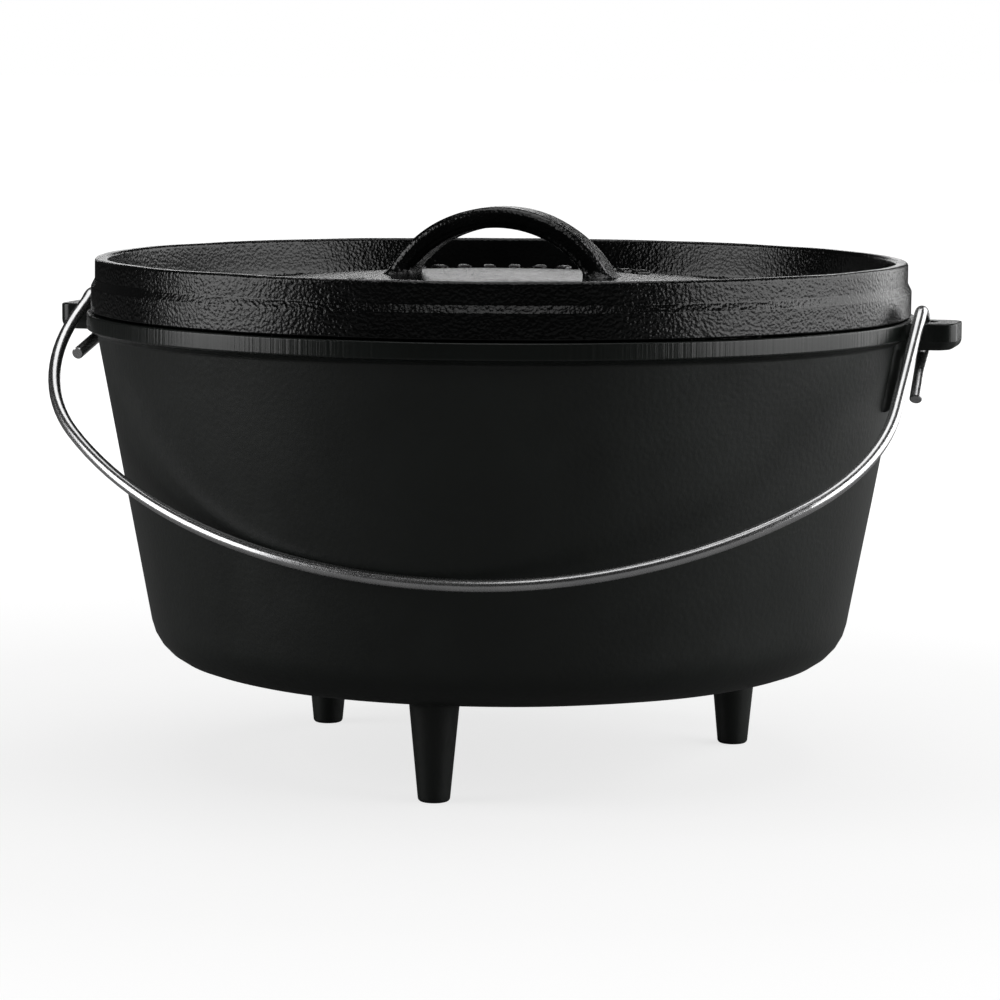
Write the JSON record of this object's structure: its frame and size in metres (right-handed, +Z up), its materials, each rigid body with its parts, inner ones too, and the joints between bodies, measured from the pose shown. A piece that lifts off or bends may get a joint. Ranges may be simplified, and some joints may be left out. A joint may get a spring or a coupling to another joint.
{
  "type": "cast iron dutch oven",
  "caption": "Deep round cast iron camp pot on short legs, with a flanged lift-off lid, an arched lid handle and a swinging steel wire bail.",
  "frame": {"origin": "on the pot's axis at ground level, between the soles of the three legs", "axes": "+Z up, ears and lid handle along X, one leg and the hanging bail towards -Y"},
  "size_m": [0.363, 0.3266, 0.2192],
  "materials": {
    "pot_iron": "seasoned, smooth satin black",
    "lid_iron": "seasoned, pebbled sand-cast skin, glossy black",
    "bail_steel": "bright drawn wire"
  },
  "bodies": {
    "pot": {"pot": "pot_iron"},
    "lid": {"lid": "lid_iron"},
    "bail": {"bail": "bail_steel"}
  },
  "joints": [
    {"name": "lid_lift", "type": "slide", "parent": "pot", "child": "lid", "axis": [0, 0, 1], "range_m": [0, 0.2]},
    {"name": "bail_swing", "type": "hinge", "parent": "pot", "child": "bail", "pos_m": [0, -0.00875, 0.1726], "axis": [-1, 0, 0], "range_deg": [0, 133]}
  ]
}
